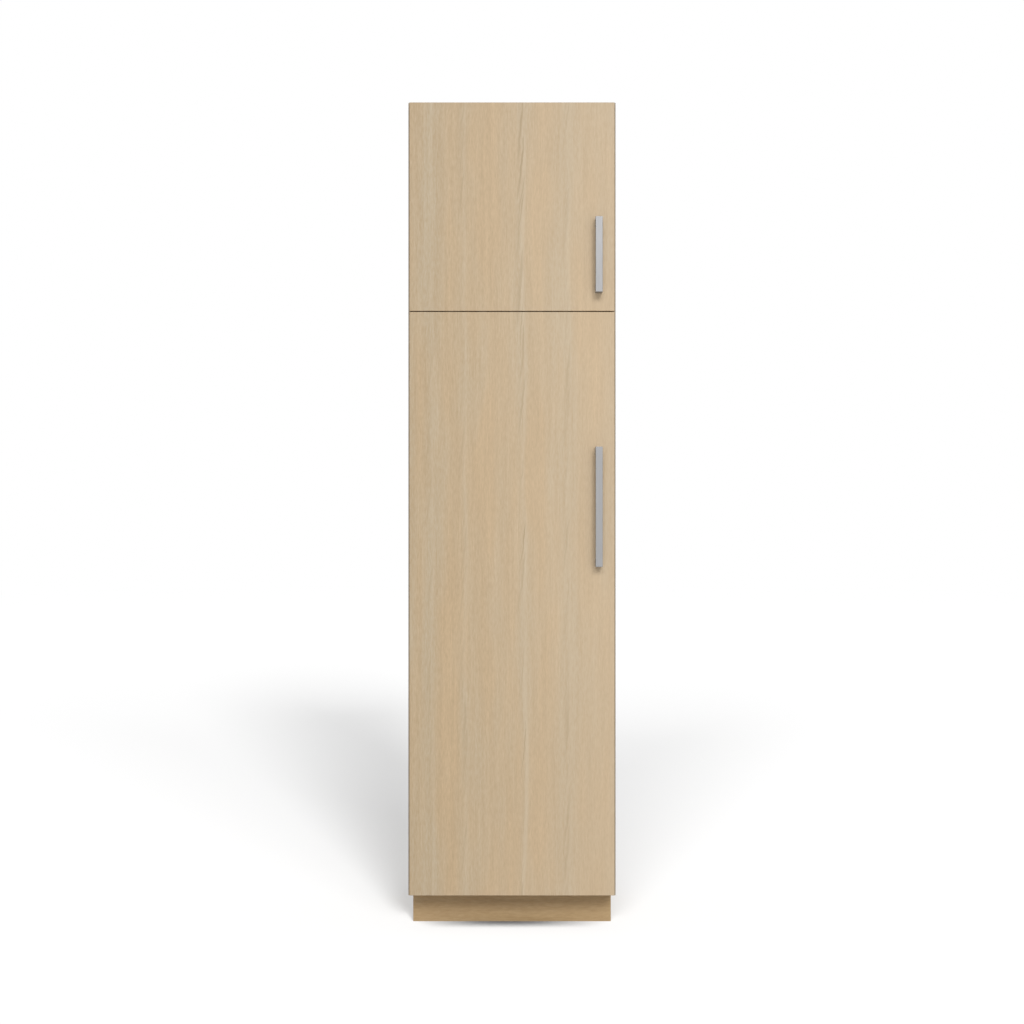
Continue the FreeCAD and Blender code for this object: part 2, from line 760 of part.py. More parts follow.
def hinge_cup():
    """The cup, drawn from the middle of its mouth on the back of the door."""
    barrel = rod("CupBarrel", size.cup_radius, size.cup_depth, "-y")
    flange = block("CupFlange", (flange_near, 0, -(size.flange_length / 2)),
                   (size.flange_width, size.flange_thickness, size.flange_length))
    slot = block("CupSlot",
                 (size.cup_slot_start - cup_centre_distance, -size.cup_slot_depth, -(slot_width / 2)),
                 (size.cup_slot_length, size.cup_slot_depth + size.flange_thickness, slot_width))
    pin_seat = rod("CupPinSeat", pin_bore, size.hinge_pin_length,
                   start=(size.pivot_edge_distance - cup_centre_distance, -size.pivot_depth,
                          -(size.hinge_pin_length / 2)))
    holes = [rod("CupScrewHole", wood_screw_bore, size.flange_thickness, "+y",
                 (size.flange_offset, 0, size.cup_screw_spacing * sign / 2)) for sign in (-1, 1)]
    return cut("HingeCup", joined("CupBlank", [barrel, flange]), [slot, pin_seat] + holes)


def hinge_arm():
    """A bent strip with a knuckle at its front end, drawn with the knuckle against both axes."""
    knuckle = size.knuckle_radius
    half = size.arm_thickness / 2
    far = knuckle + size.arm_reach + half
    near_face = far - size.arm_thickness
    length = arm_tail_end - pivot_y
    body = new_body("HingeArm")
    ring = sketch_on(body, "KnuckleOutline", "XY_Plane")
    circle(ring, knuckle, knuckle, knuckle)
    pad(body, ring, size.arm_width, midplane=True)
    leg = sketch_on(body, "ArmLeg", "XY_Plane")
    rectangle(leg, knuckle, knuckle - half, size.arm_reach + half, size.arm_thickness)
    pad(body, leg, size.arm_width, midplane=True)
    strip = sketch_on(body, "ArmStrip", "XY_Plane")
    rectangle(strip, near_face, knuckle - half, size.arm_thickness, length + half)
    bend = pad(body, strip, size.arm_width, midplane=True)
    inner = fillet(body, bend, size.arm_bend_radius,
                   lambda point: near(point.x, near_face) and near(point.y, knuckle + half))
    fillet(body, inner, size.arm_bend_radius + size.arm_thickness,
           lambda point: near(point.x, far) and near(point.y, knuckle - half))
    tail = sketch_on(body, "ArmTail", "XY_Plane")
    tail_start = knuckle + length - size.plate_rail_length
    rectangle(tail, near_face, tail_start, size.arm_thickness, size.plate_rail_length)
    pad(body, tail, size.arm_tail_width, midplane=True)
    eye = sketch_on(body, "KnuckleBore", "XY_Plane")
    circle(eye, knuckle, knuckle, pin_bore)
    pocket(body, eye, size.arm_width, midplane=True)
    screw = sketch_on(body, "ArmScrewHole", "YZ_Plane", far)
    circle(screw, knuckle + length - size.arm_screw_inset, 0, size.arm_screw_radius + size.screw_clearance)
    pocket(body, screw, size.arm_thickness)
    return body


def hinge_plate():
    """The mounting plate, drawn from the side panel's face at the height of the hinge."""
    wing = block("PlateWing", (0, -(size.plate_wing_width / 2), -(size.plate_wing_length / 2)),
                 (size.plate_wing_thickness, size.plate_wing_width, size.plate_wing_length))
    rail = block("PlateRail",
                 (0, size.plate_rail_start - size.front_row_setback, -(size.plate_rail_width / 2)),
                 (plate_rail_thickness, size.plate_rail_length, size.plate_rail_width))
    holes = [rod("PlateScrewHole", size.plate_screw_radius + size.screw_clearance, size.plate_wing_thickness,
                 "+x", (0, 0, plate_screw_half * sign)) for sign in (-1, 1)]
    holes.append(rod("PlateArmHole", size.arm_screw_radius + size.screw_clearance, plate_rail_thickness,
                     "+x", (0, arm_screw_y - plate_y, 0)))
    return cut("HingePlate", joined("PlateBlank", [wing, rail]), holes)


cup = hinge_cup()
arm = hinge_arm()
plate = hinge_plate()
hinge_pin = rod("HingePin", size.hinge_pin_radius, size.hinge_pin_length)
plate_screw = pan_screw("PlateScrew", size.plate_screw_radius,
                        size.plate_wing_thickness + size.plate_screw_bite,
                        size.plate_screw_head_radius, size.plate_screw_head_height)
arm_screw = pan_screw("ArmScrew", size.arm_screw_radius, size.arm_thickness + plate_rail_thickness,
                      size.arm_screw_head_radius, size.arm_screw_head_height)
cup_screw = pan_screw("CupScrew", size.wood_screw_radius, size.flange_thickness + size.cup_screw_bite,
                      size.wood_screw_head_radius, size.wood_screw_head_height)
arm_corner_x = pivot_x - size.knuckle_radius
arm_corner_y = pivot_y - size.knuckle_radius
hinge_heights = upper_hinge_heights + lower_hinge_heights
for name, heights in (("upper", upper_hinge_heights), ("lower", lower_hinge_heights)):
    group(f"{name}_hinge_plates", plate, [(inner_left, plate_y, height) for height in heights])
    group(f"{name}_hinge_arms", arm, [(arm_corner_x, arm_corner_y, height) for height in heights])
group("hinge_plate_screws", plate_screw,
      [(inner_left + size.plate_wing_thickness, plate_y, height + plate_screw_half * sign)
       for height in hinge_heights for sign in (-1, 1)], "+x")
group("hinge_arm_screws", arm_screw,
      [(arm_inner_face + size.arm_thickness, arm_screw_y, height) for height in hinge_heights], "+x")


# Doors, drawn from the left edge, the back face and the lower edge
def door_bands(name, bottom, height):
    """Four thin strips round the door, with their outer edges rounded over."""
    outer = size.edge_band
    inner_length = door_width - outer * 2
    strips = [
        (door_left, bottom, outer, height, lambda point: near(point.x, 0)),
        (door_left + door_width - outer, bottom, outer, height, lambda point: near(point.x, outer)),
        (door_left + outer, bottom, inner_length, outer, lambda point: near(point.z, 0)),
        (door_left + outer, bottom + height - outer, inner_length, outer, lambda point: near(point.z, outer)),
    ]
    bodies = []
    for x, z, width, tall, outside in strips:
        body = new_body("DoorBand")
        outline = sketch_on(body, "DoorBandOutline", "XZ_Plane")
        rectangle(outline, 0, 0, width, tall)
        strip = pad(body, outline, size.door_thickness)
        fillet(body, strip, size.door_edge_round,
               lambda point: outside(point) and near(point.y, 0),
               lambda point: outside(point) and near(point.y, -size.door_thickness))
        bodies.append(place(body, x, door_back, z))
    gathered(f"{name}_door_edge_bands", bodies)


def bar_handle(name, centres, middle_height):
    """A flat bar on two feet, drawn from its front face and lower end."""
    length = centres + size.handle_foot_length
    bar = size.handle_bar_thickness
    body = new_body("BarHandle")
    outline = sketch_on(body, "HandleOutline", "YZ_Plane")
    rectangle(outline, 0, 0, size.handle_projection, length)
    pad(body, outline, size.handle_width)
    finger = sketch_on(body, "FingerGap", "YZ_Plane", size.handle_width)
    rectangle(finger, bar, size.handle_foot_length, size.handle_projection - bar,
              centres - size.handle_foot_length)
    opened = pocket(body, finger, size.handle_width)
    rounded = fillet(body, opened, size.handle_inner_round,
                     lambda point: near(point.y, bar) and near(point.z, size.handle_foot_length),
                     lambda point: near(point.y, bar) and near(point.z, centres))
    fillet(body, rounded, size.handle_edge_round, lambda point: near(point.y, 0))
    screws = [(size.handle_width / 2, size.handle_foot_length / 2 + centres * number) for number in (0, 1)]
    bores(body, "HandleScrewBores", "XZ_Plane", screws, size.handle_screw_radius + size.screw_clearance,
          size.handle_screw_bite + size.bore_end_clearance, offset=-size.handle_projection, reverse=True)
    left = door_left + door_width - size.handle_edge_distance - size.handle_width / 2
    keep(f"{name}_handle", place(body, left, handle_front, middle_height - length / 2))


handle_screw = pan_screw("HandleScrew", size.handle_screw_radius,
                         size.door_thickness + size.handle_screw_bite,
                         size.handle_screw_head_radius, size.handle_screw_head_height)
bumper = rod("Bumper", size.bumper_radius, size.door_gap - size.bumper_air)


def door(name, bottom, height, hinges, handle_centres, handle_rise):
    outer = size.edge_band
    cup_heights = [hinge - bottom for hinge in hinges]
    handle_x = door_width - size.handle_edge_distance
    handle_heights = [handle_rise + handle_centres * sign / 2 for sign in (-1, 1)]
    flange_x = cup_centre_distance + size.flange_offset
    cup_screw_heights = [level + size.cup_screw_spacing * sign / 2
                         for level in cup_heights for sign in (-1, 1)]
    body = new_body("DoorPanel")
    outline = sketch_on(body, "DoorOutline", "XZ_Plane")
    rectangle(outline, outer, outer, door_width - outer * 2, height - outer * 2)
    pad(body, outline, size.door_thickness)
    bores(body, "CupBores", "XZ_Plane", [(cup_centre_distance, level) for level in cup_heights],
          size.cup_radius + size.screw_clearance, size.cup_depth + size.screw_clearance, reverse=True)
    bores(body, "CupScrewBores", "XZ_Plane", [(flange_x, level) for level in cup_screw_heights],
          wood_screw_bore, size.cup_screw_bite + size.bore_end_clearance, reverse=True)
    bores(body, "HandleHoles", "XZ_Plane", [(handle_x, level) for level in handle_heights],
          size.handle_screw_radius + size.screw_clearance, size.door_thickness, reverse=True)
    keep(f"{name}_door_panel", place(body, door_left, door_back, bottom))
    door_bands(name, bottom, height)
    group(f"{name}_hinge_cups", cup, [(cup_x, door_back, hinge) for hinge in hinges])
    group(f"{name}_hinge_pins", hinge_pin,
          [(pivot_x, pivot_y, hinge - size.hinge_pin_length / 2) for hinge in hinges])
    group(f"{name}_cup_screws", cup_screw,
          [(door_left + flange_x, door_back + size.flange_thickness, bottom + level)
           for level in cup_screw_heights], "+y")
    bar_handle(name, handle_centres, bottom + handle_rise)
    group(f"{name}_handle_screws", handle_screw,
          [(door_left + handle_x, door_back, bottom + level) for level in handle_heights], "+y")
    bumper_x = door_left + door_width - size.bumper_edge_distance
    group(f"{name}_door_bumpers", bumper,
          [(bumper_x, door_back, bottom + size.bumper_edge_distance),
           (bumper_x, door_back, bottom + height - size.bumper_edge_distance)], "+y")


door("upper", upper_door_bottom, upper_door_height, upper_hinge_heights,
     size.upper_handle_centres, size.upper_handle_rise)
door("lower", lower_door_bottom, size.lower_door_height, lower_hinge_heights,
     size.lower_handle_centres, size.lower_handle_rise)

# Check every object, then write each sub-part
doc.recompute()
for item in doc.Objects:
    if "Invalid" in item.State or "Error" in item.State:
        raise RuntimeError(f"{item.Label} failed: {item.State}")
for label, piece in subparts.items():
    if piece.Shape.isNull() or not piece.Shape.isValid():
        raise RuntimeError(f"{label} has no valid shape")
os.makedirs("parts", exist_ok=True)
for label, piece in subparts.items():
    piece.Shape.exportStep(f"parts/{label}.step")
print(len(subparts), "sub-parts written")
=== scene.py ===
import math

import bpy
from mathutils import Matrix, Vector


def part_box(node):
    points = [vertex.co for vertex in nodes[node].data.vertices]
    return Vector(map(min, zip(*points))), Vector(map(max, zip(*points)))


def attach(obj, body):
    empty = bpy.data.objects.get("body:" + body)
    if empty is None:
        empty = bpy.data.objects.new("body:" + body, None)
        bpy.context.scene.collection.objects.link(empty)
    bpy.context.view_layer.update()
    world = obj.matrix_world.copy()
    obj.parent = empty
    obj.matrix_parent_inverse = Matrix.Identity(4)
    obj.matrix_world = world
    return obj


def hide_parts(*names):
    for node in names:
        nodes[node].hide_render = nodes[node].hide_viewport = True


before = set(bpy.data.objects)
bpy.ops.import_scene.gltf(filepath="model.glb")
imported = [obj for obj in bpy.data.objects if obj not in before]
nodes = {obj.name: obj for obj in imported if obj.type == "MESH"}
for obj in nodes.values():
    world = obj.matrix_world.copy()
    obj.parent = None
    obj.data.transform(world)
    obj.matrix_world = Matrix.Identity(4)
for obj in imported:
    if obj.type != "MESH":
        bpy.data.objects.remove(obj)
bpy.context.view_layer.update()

# Handles, in metres
HANDLE_BAR_THICKNESS = 0.010
HANDLE_FOOT_LENGTH = 0.024
HANDLE_INNER_ROUND = 0.008
HANDLE_EDGE_ROUND = 0.001

# Hinges, in metres, and how many of them each door has
HINGES = {"upper": 2, "lower": 4}
CUP_RIM_RADIUS = 0.0185
CUP_FLOOR = 0.0012
CUP_WALL = 0.0013
CUP_FLANGE = {"near": -0.002, "far": 0.014, "half_length": 0.031, "thickness": 0.0012, "corner": 0.0075}
CUP_HOLLOW_START = -0.0098
CUP_SLOT = {"start": -0.01605, "end": 0.008, "half_width": 0.0053, "floor": 0.0006}
CUP_EDGE_ROUND = 0.0002
ARM_THICKNESS = 0.0032
ARM_HALF_WIDTH = 0.005
ARM_TAIL_HALF_WIDTH = 0.008
ARM_TAIL_LENGTH = 0.056
ARM_KNUCKLE_RADIUS = 0.0027
ARM_BORE_RADIUS = 0.00155
ARM_BORE_LENGTH = 0.015
ARM_LEG_REACH = 0.0018
ARM_BEND_ROUND = 0.0024
ARM_CORNER_ROUND = 0.0022
ARM_RECESS = {"start": 0.008, "end": 0.034, "half_width": 0.0036, "depth": 0.0008, "corner": 0.003}
ARM_EDGE_ROUND = 0.0003
PLATE_WING = {"half_width": 0.008, "thickness": 0.0025, "corner": 0.006}
PLATE_HALF_LENGTH = 0.026
PLATE_RAIL_HALF_WIDTH = 0.006
PLATE_RAIL_CORNER = 0.003
PLATE_EDGE_ROUND = 0.0004

# Modelling: sides of a rod, and steps of a round
ROD_SIDES = 40
BROAD_ROUND_STEPS = 8
SMALL_ROUND_STEPS = 6
EDGE_ROUND_STEPS = 3
PRESSED_ROUND_STEPS = 2

# Modelling: how far a cut runs past a face, and how near counts as touching, in metres
CUT_PAST = 0.001
SLIVER = 0.00003
TOUCHING = 0.00001

# Modelling: how squarely a picked face looks one way, and angles
FACING = 0.9
FLAT_ANGLE = math.radians(1)
SMOOTH_ANGLE = math.radians(35)
SHARP_ANGLE = math.radians(60)
QUARTER_TURN = math.radians(90)

# Noise: the range that most of it lies in
NOISE_RANGE = (0.3, 0.7)

# Oak grain: marks in a metre across the grain, and along it
SWAY = (5.0, 1.6)
BROAD_BANDS = (16.0, 2.4)
STREAKS = (75.0, 2.8)
FIBRES = (230.0, 8.0)
FLECKS = (300.0, 54.0)
PORES = (1400.0, 60.0)

# Oak grain: how far and how strongly these marks show
SWAY_REACH = 0.004
STREAK_SHARE = 0.55
FIBRE_SHARE = 0.5
LINE_RANGE = (0.62, 1.42)
LINE_RELIEF = 0.3
PORE_RANGE = (0.6, 0.72)
PORE_DARK = 0.4
OAK_ROUGHNESS = (0.6, 0.5)
OAK_RELIEF = 0.0003
OAK_BUMP = 0.5

# Metal and moulded finishes
SCRATCHES = (2200.0, 14.0)
CLOUDS = (30.0, 12.0)
SCRATCH_SHARE = 0.6
CLOUD_SHARE = 0.4
BRUSHED_ROUGHNESS = (0.53, 0.45)
BRUSHED_RELIEF = 0.00005
SPECK_DETAIL = 4.0
SPECK_RELIEF = 0.0001
STEEL_RELIEF = 0.000005
FINE_BUMP = 0.3

# Door veneer: bands by place across the door, half width and warmth
VENEER_BANDS = (
    (-0.236, 0.034, -0.5),
    (-0.178, 0.026, 0.25),
    (-0.140, 0.024, -0.25),
    (-0.068, 0.044, 0.4),
    (0.030, 0.022, -0.5),
    (0.084, 0.046, 0.5),
    (0.160, 0.040, -0.6),
)
VENEER_WANDER = (2.0, 2.6)
WANDER_REACH = 0.007
DOOR_HALF_WIDTH = 0.3
# Painted light: how far the door veneer is blended towards a paler tone at its right edge, as if lit more
# from that side
PAINTED_LIGHT_AT_RIGHT = 0.32

# Narrow figures of the veneer, each a pale core with dark lines: place across the door, and strength
VENEER_FIGURES = ((0.033, 1.0), (-0.137, 0.5), (0.162, 0.4), (-0.232, 0.45))
FIGURE_SEED = 100
CORE_SHIFT = 0.003
CORE_HALF_WIDTH = 0.009
GLINT_RANGE = (0.35, 0.6)
GLINT_LEAST = 0.1
GLINT_MOST = 0.42
LINE_STEEPNESS = 9.0
LINE_WOBBLE = 0.0025
LINE_EDGE = (0.5, 0.62)
LINE_FADE_RANGE = (0.4, 0.6)
LINE_FADE = (0.45, 1.0)
LINES_START = (-0.020, -0.005)
LINES_END = (0.0, 0.006)

# Layers of noise in a figure, by place in the noise and marks in a metre up the door
FIGURE_LAYERS = {"wobble": (9.0, 22.0), "lines": (0.0, 15.0), "fade": (5.0, 6.0), "glint": (2.0, 7.0)}

# Floor and air: levels, and sizes in metres
FLOOR_SIZE = 80.0
FLOOR_SEEN = 0.43
FLOOR_BOUNCE = 0.25
FLOOR_GLOW = 0.275
FLOOR_FADE = (9.0, 18.0)
AMBIENT = 0.35

# Shadow under the plinth: its reach and middle in metres, and ranges with the two levels that they give
CONTACT_REACH = 0.128
CONTACT_SAMPLES = 16
CONTACT_DARK = (0.305, 0.52, 0.88, 0.0)
CONTACT_MIDDLE = -0.012
CONTACT_SPREAD = (0.02, 0.36, 1.0, 0.0)

# Suns: azimuth to the right of the front, elevation, level, and softness, with angles in degrees
CABINET_SUNS = {
    "key_light": (14, 33, 0.33, 20),
    "fill_light": (-10, 33, 0.14, 20),
    "back_light": (168, 30, 0.36, 20),
}
FLOOR_SUNS = {
    "floor_key_light": (13, 24.5, 1.60, 14),
    "floor_side_light": (24, 23, 0.60, 24),
    "floor_fill_light": (-11, 29, 0.97, 20),
}

# Softbox: angles in degrees, sizes and place in metres, power in watts
SOFTBOX = {
    "azimuth": 21,
    "elevation": 0,
    "width": 3.0,
    "height": 2.4,
    "power": 14.0,
    "place": (0.9, -2.5, 1.65),
}

# Camera, in metres, and in millimetres for its lens
CAMERA_DISTANCE = 4.0988
CAMERA_HEIGHT = 1.2054
CAMERA_LENS = 50
CAMERA_SENSOR = 36


# Node trees
def feed(tree, socket, value):
    """Link an output to a socket, or set the socket to a plain value."""
    if isinstance(value, bpy.types.NodeSocket):
        tree.links.new(value, socket)
    else:
        socket.default_value = value


def add_node(tree, kind, inputs=None, **settings):
    """Add a node, set its properties, then feed its inputs by name or number."""
    node = tree.nodes.new(kind)
    for name, setting in settings.items():
        setattr(node, name, setting)
    for key, value in (inputs or {}).items():
        feed(tree, node.inputs[key], value)
    return node


def maths(tree, operation, first, second=0.0):
    node = add_node(tree, "ShaderNodeMath", {0: first, 1: second}, operation=operation)
    return node.outputs[0]


def blend_colours(tree, share, first, second):
    node = add_node(tree, "ShaderNodeMix", {0: share, 6: first, 7: second}, data_type="RGBA")
    return node.outputs[2]


def remap(tree, value, low, high, to_low, to_high, smooth=False):
    node = add_node(
        tree, "ShaderNodeMapRange",
        {0: value, 1: low, 2: high, 3: to_low, 4: to_high},
        interpolation_type="SMOOTHSTEP" if smooth else "LINEAR",
    )
    return node.outputs[0]


def new_group(name, inputs, outputs):
    """A shader node group with named sockets; returns the tree, its inputs and its output node."""
    tree = bpy.data.node_groups.new(name, "ShaderNodeTree")
    for label, kind in inputs.items():
        tree.interface.new_socket(label, in_out="INPUT", socket_type=f"NodeSocket{kind}")
    for label, kind in outputs.items():
        tree.interface.new_socket(label, in_out="OUTPUT", socket_type=f"NodeSocket{kind}")
    entry = tree.nodes.new("NodeGroupInput")
    leave = tree.nodes.new("NodeGroupOutput")
    return tree, entry.outputs, leave


def use_group(tree, group, inputs):
    return add_node(tree, "ShaderNodeGroup", inputs, node_tree=group).outputs


def colour(red, green, blue):
    """A colour written as it looks on screen, from 0 to 255, as the linear colour that nodes take."""
    channels = []
    for level in (red, green, blue):
        share = level / 255
        channels.append(share / 12.92 if share <= 0.04045 else ((share + 0.055) / 1.055) ** 2.4)
    return (*channels, 1.0)


def grain_noise(tree, across, depth, along, marks, detail=2.0):
    """Noise drawn out along the grain, from its marks in a metre across the grain, and along it."""
    fineness, length_scale = marks
    place = add_node(tree, "ShaderNodeCombineXYZ", {
        0: maths(tree, "MULTIPLY", across, fineness),
        1: maths(tree, "MULTIPLY", depth, fineness),
        2: maths(tree, "MULTIPLY", along, length_scale),
    })
    noise = add_node(tree, "ShaderNodeTexNoise",
                     {"Vector": place.outputs[0], "Scale": 1.0, "Detail": detail})
    return noise.outputs[0]


# Oak: broad cool and warm bands, growth streaks, fibres, flecks and short pores
def oak_grain_group():
    tree, given, leave = new_group(
        "oak_grain",
        {"Across": "Float", "Depth": "Float", "Along": "Float", "Warmth": "Float",
         "Cool Oak": "Color", "Warm Oak": "Color", "Dark Fibre": "Color"},
        {"Color": "Color", "Roughness": "Float", "Height": "Float"},
    )
    depth = given["Depth"]
    along = given["Along"]
    sway = grain_noise(tree, given["Across"], depth, along, SWAY)
    across = maths(tree, "ADD", remap(tree, sway, *NOISE_RANGE, -SWAY_REACH, SWAY_REACH), given["Across"])
    broad = grain_noise(tree, across, depth, along, BROAD_BANDS)
    streak = grain_noise(tree, across, depth, along, STREAKS, detail=3.0)
    fibre = grain_noise(tree, across, depth, along, FIBRES)
    fleck = grain_noise(tree, across, depth, along, FLECKS)
    pore = grain_noise(tree, across, depth, along, PORES, detail=1.0)

    tone = remap(tree, broad, *NOISE_RANGE, 0.0, 1.0)
    tone = maths(tree, "ADD", tone, given["Warmth"])
    tone.node.use_clamp = True
    timber = blend_colours(tree, tone, given["Cool Oak"], given["Warm Oak"])
    streaks = maths(tree, "MULTIPLY", streak, STREAK_SHARE)
    lines = maths(tree, "ADD", streaks, maths(tree, "MULTIPLY", fibre, FIBRE_SHARE))
    lines = maths(tree, "ADD", lines, fleck)
    dark = remap(tree, lines, *LINE_RANGE, 1.0, 0.0)
    timber = blend_colours(tree, dark, timber, given["Dark Fibre"])
    pores = remap(tree, pore, *PORE_RANGE, 0.0, PORE_DARK, smooth=True)
    timber = blend_colours(tree, pores, timber, given["Dark Fibre"])
    feed(tree, leave.inputs["Color"], timber)
    feed(tree, leave.inputs["Roughness"], remap(tree, lines, *LINE_RANGE, *OAK_ROUGHNESS))
    relief = maths(tree, "SUBTRACT", maths(tree, "MULTIPLY", lines, LINE_RELIEF), pores)
    feed(tree, leave.inputs["Height"], relief)
    return tree


# Fine scratches left by brushing, and a faint cloud, for metal
def brushed_group():
    tree, given, leave = new_group(
        "brushed_metal",
        {"Across": "Float", "Depth": "Float", "Along": "Float", "Light": "Color", "Dark": "Color"},
        {"Color": "Color", "Roughness": "Float", "Height": "Float"},
    )
    scratch = grain_noise(tree, given["Across"], given["Depth"], given["Along"], SCRATCHES)
    cloud = grain_noise(tree, given["Across"], given["Depth"], given["Along"], CLOUDS)
    scratches = maths(tree, "MULTIPLY", scratch, SCRATCH_SHARE)
    mark = maths(tree, "ADD", scratches, maths(tree, "MULTIPLY", cloud, CLOUD_SHARE))
    share = remap(tree, mark, *NOISE_RANGE, 0.0, 1.0)
    feed(tree, leave.inputs["Color"], blend_colours(tree, share, given["Dark"], given["Light"]))
    feed(tree, leave.inputs["Roughness"], remap(tree, mark, *NOISE_RANGE, *BRUSHED_ROUGHNESS))
    feed(tree, leave.inputs["Height"], scratch)
    return tree


# Even specks, for plated, cast and moulded pieces
def speckle_group():
    tree, given, leave = new_group(
        "fine_speckle",
        {"Vector": "Vector", "Fineness": "Float", "Light": "Color", "Dark": "Color"},
        {"Color": "Color", "Mask": "Float"},
    )
    fine = add_node(tree, "ShaderNodeTexNoise",
                    {"Vector": given["Vector"], "Scale": given["Fineness"], "Detail": SPECK_DETAIL})
    share = remap(tree, fine.outputs[0], *NOISE_RANGE, 0.0, 1.0)
    feed(tree, leave.inputs["Color"], blend_colours(tree, share, given["Dark"], given["Light"]))
    feed(tree, leave.inputs["Mask"], share)
    return tree


OAK_GRAIN = oak_grain_group()
BRUSHED = brushed_group()
SPECKLE = speckle_group()
AXES = {"X": 0, "Y": 1, "Z": 2}

# Colours of the timbers
COOL_OAK = colour(202, 186, 159)
WARM_OAK = colour(210, 183, 146)
DARK_FIBRE = colour(185, 160, 125)
PLINTH_OAK = {
    "cool": colour(196, 169, 130),
    "warm": colour(200, 170, 125),
    "fibre": colour(177, 146, 104),
}
# Carcass edge bands: a darker, greyer oak, partly their own tone and partly painted shade of the narrow gap
# beside the doors
CARCASS_BAND_AND_SHADE = {
    "cool": colour(170, 158, 140),
    "warm": colour(173, 157, 136),
    "fibre": colour(156, 141, 120),
}
BAND_OAK = {"cool": colour(203, 184, 157), "warm": colour(209, 184, 151)}
BACK_OAK = {"cool": colour(206, 190, 166), "warm": colour(209, 187, 157)}
BEECH = {
    "cool": colour(206, 176, 140),
    "warm": colour(212, 178, 138),
    "fibre": colour(184, 143, 103),
}
# Painted light: the paler tone that the door veneer is blended towards at its right
PAINTED_LIGHT_TONE = colour(230, 207, 176)
FIGURE_PALE = colour(217, 201, 175)
FIGURE_DARK = colour(182, 160, 128)


# Finishes
def new_material(name):
    """A material with its Principled shader, and the coordinates of the piece."""
    material = bpy.data.materials.new(name)
    material.use_nodes = True
    tree = material.node_tree
    shader = tree.nodes["Principled BSDF"]
    place = add_node(tree, "ShaderNodeTexCoord").outputs["Object"]
    return material, tree, shader, place


def bump(tree, shader, height, distance, strength):
    node = add_node(tree, "ShaderNodeBump", {"Strength": strength, "Distance": distance, "Height": height})
    tree.links.new(node.outputs[0], shader.inputs["Normal"])


def grain_axes(tree, place, across, depth, along):
    """The piece's coordinates, sorted by how its grain runs."""
    parts = add_node(tree, "ShaderNodeSeparateXYZ", {0: place}).outputs
    return {"Across": parts[AXES[across]], "Depth": parts[AXES[depth]], "Along": parts[AXES[along]]}


def oak(name, across, depth, along, cool=COOL_OAK, warm=WARM_OAK, fibre=DARK_FIBRE):
    material, tree, shader, place = new_material(name)
    inputs = grain_axes(tree, place, across, depth, along)
    inputs.update({"Warmth": 0.0, "Cool Oak": cool, "Warm Oak": warm, "Dark Fibre": fibre})
    grain = use_group(tree, OAK_GRAIN, inputs)
    tree.links.new(grain["Color"], shader.inputs["Base Color"])
    tree.links.new(grain["Roughness"], shader.inputs["Roughness"])
    bump(tree, shader, grain["Height"], OAK_RELIEF, OAK_BUMP)
    return material


def figure_noise(tree, layer, seed, along):
    """Noise up a figure, another one for each seed and layer."""
    depth, marks_along = FIGURE_LAYERS[layer]
    return grain_noise(tree, seed, depth, along, (1.0, marks_along))


def leaning_lines(tree, away, along, seed):
    """Dark growth lines that lean up towards the core of a figure, wavering and fading in and out."""
    wobble = figure_noise(tree, "wobble", seed, along)
    wobble = remap(tree, wobble, *NOISE_RANGE, -LINE_WOBBLE, LINE_WOBBLE)
    lean = maths(tree, "MULTIPLY", maths(tree, "ADD", away, wobble), LINE_STEEPNESS)
    ring = figure_noise(tree, "lines", seed, maths(tree, "SUBTRACT", along, lean))
    line = remap(tree, ring, *LINE_EDGE, 0.0, 1.0, smooth=True)
    fade = remap(tree, figure_noise(tree, "fade", seed, along), *LINE_FADE_RANGE, *LINE_FADE)
    return maths(tree, "MULTIPLY", line, fade)


def band_mask(tree, across, middle, half_width):
    """One at the middle of a band, none past its half width."""
    away = maths(tree, "ABSOLUTE", maths(tree, "SUBTRACT", across, middle))
    return remap(tree, away, 0.0, half_width, 1.0, 0.0, smooth=True)


